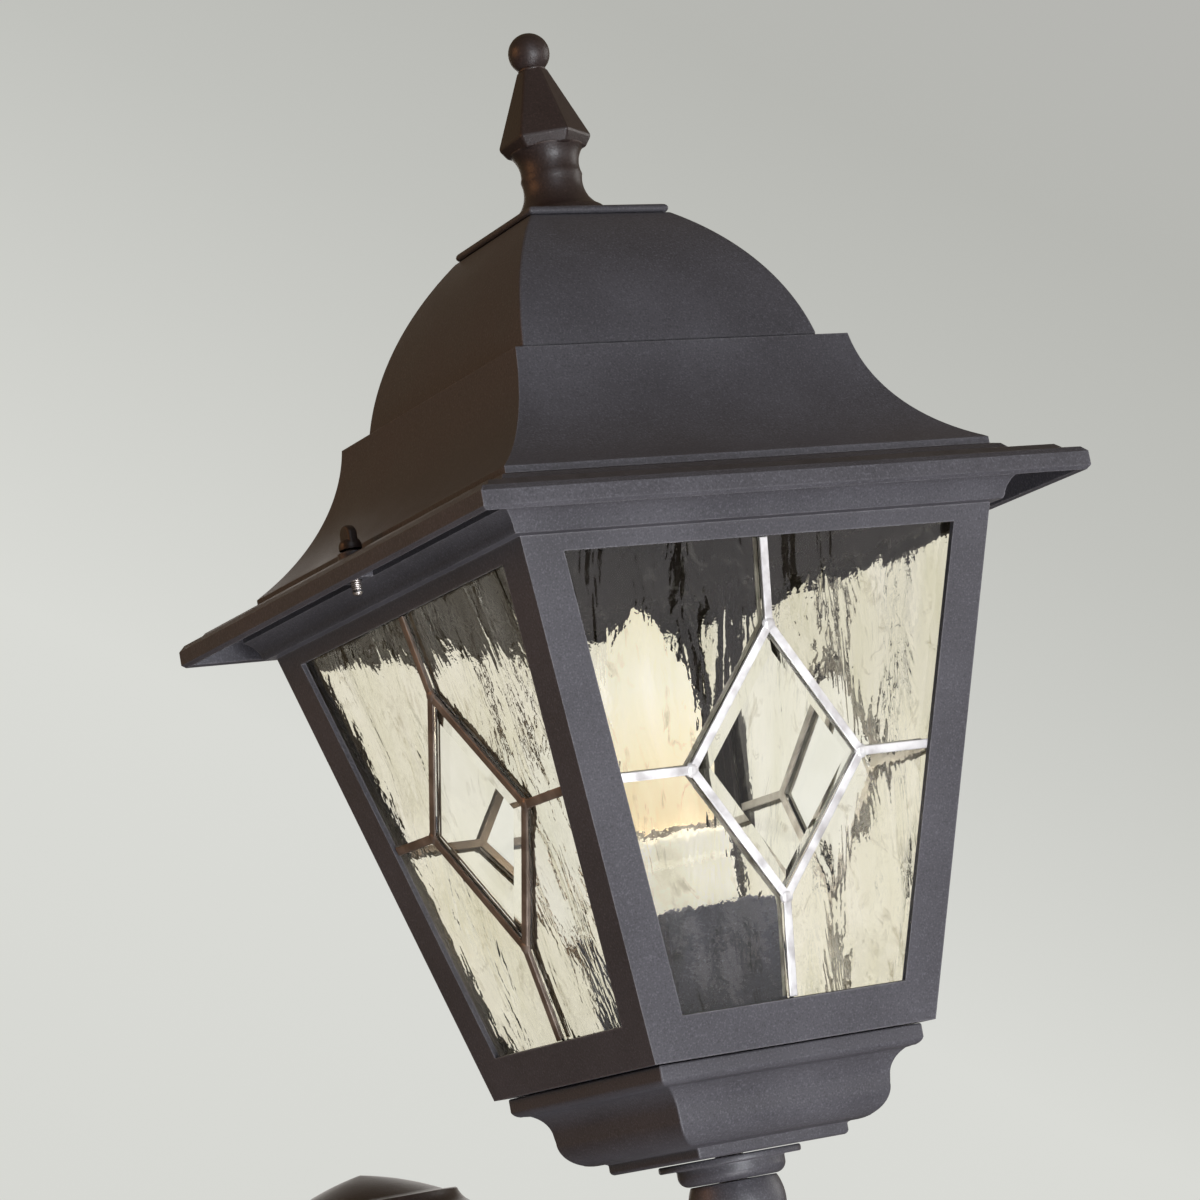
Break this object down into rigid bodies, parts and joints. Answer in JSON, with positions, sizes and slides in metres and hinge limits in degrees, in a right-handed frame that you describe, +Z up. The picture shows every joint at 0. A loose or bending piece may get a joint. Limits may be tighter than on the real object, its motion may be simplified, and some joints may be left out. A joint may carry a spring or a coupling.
{
  "type": "street lamp post",
  "caption": "Lamp post with a tapered leaded-glass lantern on a curved side arm, a fluted round post and a square plinth with a hinged service door.",
  "frame": {"origin": "centre of the underside of the base flange, on the post's axis", "axes": "+Z up the post; the arm carries the lantern towards -Y, and the plinth's door faces -Y; +X to the right of someone who faces the door"},
  "size_m": [0.28, 0.5493, 2.2096],
  "materials": {
    "powder_coat": "charcoal powder coat with a fine texture",
    "bronze_paint": "dark bronze-brown paint, satin",
    "bright_steel": "bright steel",
    "lead": "silver-grey lead came, worn bright on its faces",
    "water_glass": "rippled cream water glass",
    "clear_glass": "clear glass with a polished bevel",
    "lamp_glass": "pearl glass, lit",
    "porcelain": "white glazed porcelain",
    "contact_brass": "bright brass",
    "dark_enamel": "dark blue-grey enamel",
    "fuse_plastic": "black moulded plastic",
    "carrier_plastic": "red moulded plastic"
  },
  "bodies": {
    "post": {"anchor_bolt_1": "bright_steel", "anchor_bolt_2": "bright_steel", "anchor_bolt_3": "bright_steel", "anchor_bolt_4": "bright_steel", "arm_sleeve": "powder_coat", "base_flange": "powder_coat", "base_moulding": "powder_coat", "bracket_arm": "powder_coat", "bracket_scroll": "bronze_paint", "diamond_glass_1": "clear_glass", "diamond_glass_2": "clear_glass", "diamond_glass_3": "clear_glass", "diamond_glass_4": "clear_glass", "door_hinge_pin": "bright_steel", "fuse_cutout": "fuse_plastic", "lamp_neck": "powder_coat", "lampholder": "porcelain", "lampholder_contact": "contact_brass", "lampholder_pedestal": "dark_enamel", "lantern_frame": "powder_coat", "lead_came_1": "lead", "lead_came_2": "lead", "lead_came_3": "lead", "lead_came_4": "lead", "neck_collar": "powder_coat", "nipple_locknut": "bright_steel", "plinth": "powder_coat", "post_cap": "bronze_paint", "shaft_lower": "powder_coat", "shaft_ring": "bronze_paint", "shaft_upper": "powder_coat", "threaded_nipple": "bright_steel", "water_glass_lower_left_1": "water_glass", "water_glass_lower_left_2": "water_glass", "water_glass_lower_left_3": "water_glass", "water_glass_lower_left_4": "water_glass", "water_glass_lower_right_1": "water_glass", "water_glass_lower_right_2": "water_glass", "water_glass_lower_right_3": "water_glass", "water_glass_lower_right_4": "water_glass", "water_glass_upper_left_1": "water_glass", "water_glass_upper_left_2": "water_glass", "water_glass_upper_left_3": "water_glass", "water_glass_upper_left_4": "water_glass", "water_glass_upper_right_1": "water_glass", "water_glass_upper_right_2": "water_glass", "water_glass_upper_right_3": "water_glass", "water_glass_upper_right_4": "water_glass"},
    "roof": {"roof_skirt": "powder_coat", "roof_dome": "powder_coat", "roof_cap_plate": "powder_coat", "finial": "bronze_paint", "finial_nut": "bright_steel"},
    "screw_left": {"thumbscrew_left": "bronze_paint"},
    "screw_right": {"thumbscrew_right": "bronze_paint"},
    "lamp": {"bulb_cap": "bright_steel", "bulb_glass": "lamp_glass"},
    "door": {"access_door": "powder_coat"},
    "lock": {"door_lock": "bright_steel"},
    "fuse": {"fuse_carrier": "carrier_plastic"}
  },
  "joints": [
    {"name": "roof_lift", "type": "slide", "parent": "post", "child": "roof", "axis": [0, 0, 1], "range_m": [0, 0.12]},
    {"name": "screw_left_turn", "type": "hinge", "parent": "roof", "child": "screw_left", "pos_m": [-0.106, -0.289, 2.02], "axis": [0, 0, 1], "continuous": true},
    {"name": "screw_right_turn", "type": "hinge", "parent": "roof", "child": "screw_right", "pos_m": [0.106, -0.289, 2.02], "axis": [0, 0, 1], "continuous": true},
    {"name": "lamp_turn", "type": "hinge", "parent": "post", "child": "lamp", "pos_m": [0, -0.289, 1.92], "axis": [0, 0, 1], "continuous": true},
    {"name": "door_hinge", "type": "hinge", "parent": "post", "child": "door", "pos_m": [-0.059, -0.088, 0.215], "axis": [0, 0, -1], "range_deg": [0, 110]},
    {"name": "lock_turn", "type": "hinge", "parent": "door", "child": "lock", "pos_m": [0.042, -0.085, 0.215], "axis": [0, 1, 0], "range_deg": [0, 90]},
    {"name": "fuse_slide", "type": "slide", "parent": "post", "child": "fuse", "axis": [0, -1, 0], "range_m": [0, 0.025]}
  ]
}
